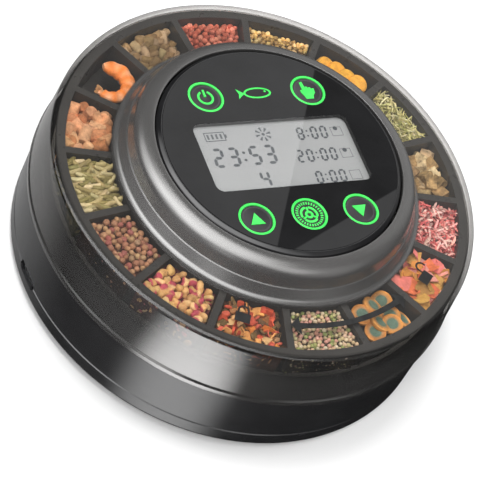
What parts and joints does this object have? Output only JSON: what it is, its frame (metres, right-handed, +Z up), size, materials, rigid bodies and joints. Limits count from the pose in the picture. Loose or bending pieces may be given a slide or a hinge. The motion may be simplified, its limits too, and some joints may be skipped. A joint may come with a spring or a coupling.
{
  "type": "automatic fish feeder",
  "caption": "Round automatic fish feeder: a ring of open-bottomed food cells turns over a floor with an outlet, under a twist-off clear lid and a central display pod with keys.",
  "frame": {"origin": "centre of the resting plane, at the undersides of the rubber feet", "axes": "+Z up, +X to the right of the display as it is read, +Y to the top of the display"},
  "size_m": [0.1548, 0.1548, 0.0645],
  "materials": {
    "gloss_black": "polished",
    "gloss_black_cover": "polished",
    "foot_rubber": "matte",
    "screw_steel": "satin",
    "chute_plastic": "fine texture",
    "glide_plastic": "low-friction moulded",
    "seal_rubber": "matte",
    "pod_black": "polished",
    "bezel_black": "polished",
    "panel_black": "polished",
    "window_clear": "polished clear",
    "light_green": "lit translucent",
    "lcd_grey": "satin",
    "frame_white": "moulded",
    "board_green": "solder resist",
    "switch_black": "moulded",
    "lamp_green": "clear",
    "chip_black": "moulded",
    "battery_wrap": "shrink sleeve",
    "tab_nickel": "satin",
    "cradle_black": "moulded",
    "socket_steel": "satin",
    "motor_steel": "plated",
    "bush_brass": "machined",
    "wire_red": "sleeve",
    "drum_smoke": "dark translucent",
    "gear_white": "moulded",
    "magnet_nickel": "plated",
    "shaft_steel": "ground",
    "lid_smoke": "polished smoky clear",
    "key_black": "polished"
  },
  "bodies": {
    "base": {"base_housing": "gloss_black", "bottom_cover": "gloss_black_cover", "rubber_feet": "foot_rubber", "cover_screws": "screw_steel", "food_chute": "chute_plastic", "drum_glide_ring": "glide_plastic", "lid_seal": "seal_rubber", "pod_housing": "pod_black", "pod_screws": "screw_steel", "bezel_ring": "bezel_black", "front_panel": "panel_black", "display_window": "window_clear", "key_light_rings": "light_green", "lcd_module": "lcd_grey", "lcd_frame": "frame_white", "main_pcb": "board_green", "tact_switches": "switch_black", "key_leds": "lamp_green", "pcb_chips": "chip_black", "pcb_screws": "screw_steel", "battery_cell": "battery_wrap", "battery_tabs": "tab_nickel", "battery_cradle": "cradle_black", "usb_c_receptacle": "socket_steel", "usb_board": "board_green", "usb_board_screws": "screw_steel", "gear_motor": "motor_steel", "motor_screws": "screw_steel", "shaft_bush": "bush_brass", "hall_sensor_board": "board_green", "wire_harness": "wire_red"},
    "drum": {"food_drum": "drum_smoke", "ring_gear": "gear_white", "home_magnet": "magnet_nickel"},
    "pinion": {"motor_shaft": "shaft_steel", "drive_pinion": "gear_white"},
    "lid": {"lid": "lid_smoke"},
    "key_power": {"key_power": "key_black"},
    "key_manual": {"key_manual": "key_black"},
    "key_up": {"key_up": "key_black"},
    "key_set": {"key_set": "key_black"},
    "key_down": {"key_down": "key_black"}
  },
  "joints": [
    {"name": "drum_spin", "type": "hinge", "parent": "base", "child": "drum", "pos_m": [0, 0, 0.042], "axis": [0, 0, 1], "continuous": true},
    {"name": "pinion_spin", "type": "hinge", "parent": "base", "child": "pinion", "pos_m": [0.044, 0, 0.038], "axis": [0, 0, 1], "continuous": true},
    {"name": "lid_twist", "type": "hinge", "parent": "base", "child": "lid", "pos_m": [0, 0, 0.03], "axis": [0, 0, 1], "range_deg": [0, 18]},
    {"name": "key_power_press", "type": "slide", "parent": "base", "child": "key_power", "axis": [0, 0, -1], "range_m": [0, 0.0004], "stiffness_N_per_m": 400},
    {"name": "key_manual_press", "type": "slide", "parent": "base", "child": "key_manual", "axis": [0, 0, -1], "range_m": [0, 0.0004], "stiffness_N_per_m": 400},
    {"name": "key_up_press", "type": "slide", "parent": "base", "child": "key_up", "axis": [0, 0, -1], "range_m": [0, 0.0004], "stiffness_N_per_m": 400},
    {"name": "key_set_press", "type": "slide", "parent": "base", "child": "key_set", "axis": [0, 0, -1], "range_m": [0, 0.0004], "stiffness_N_per_m": 400},
    {"name": "key_down_press", "type": "slide", "parent": "base", "child": "key_down", "axis": [0, 0, -1], "range_m": [0, 0.0004], "stiffness_N_per_m": 400}
  ],
  "couplings": [
    {"joint": "pinion_spin", "follows": "drum_spin", "ratio": 8.3333}
  ]
}
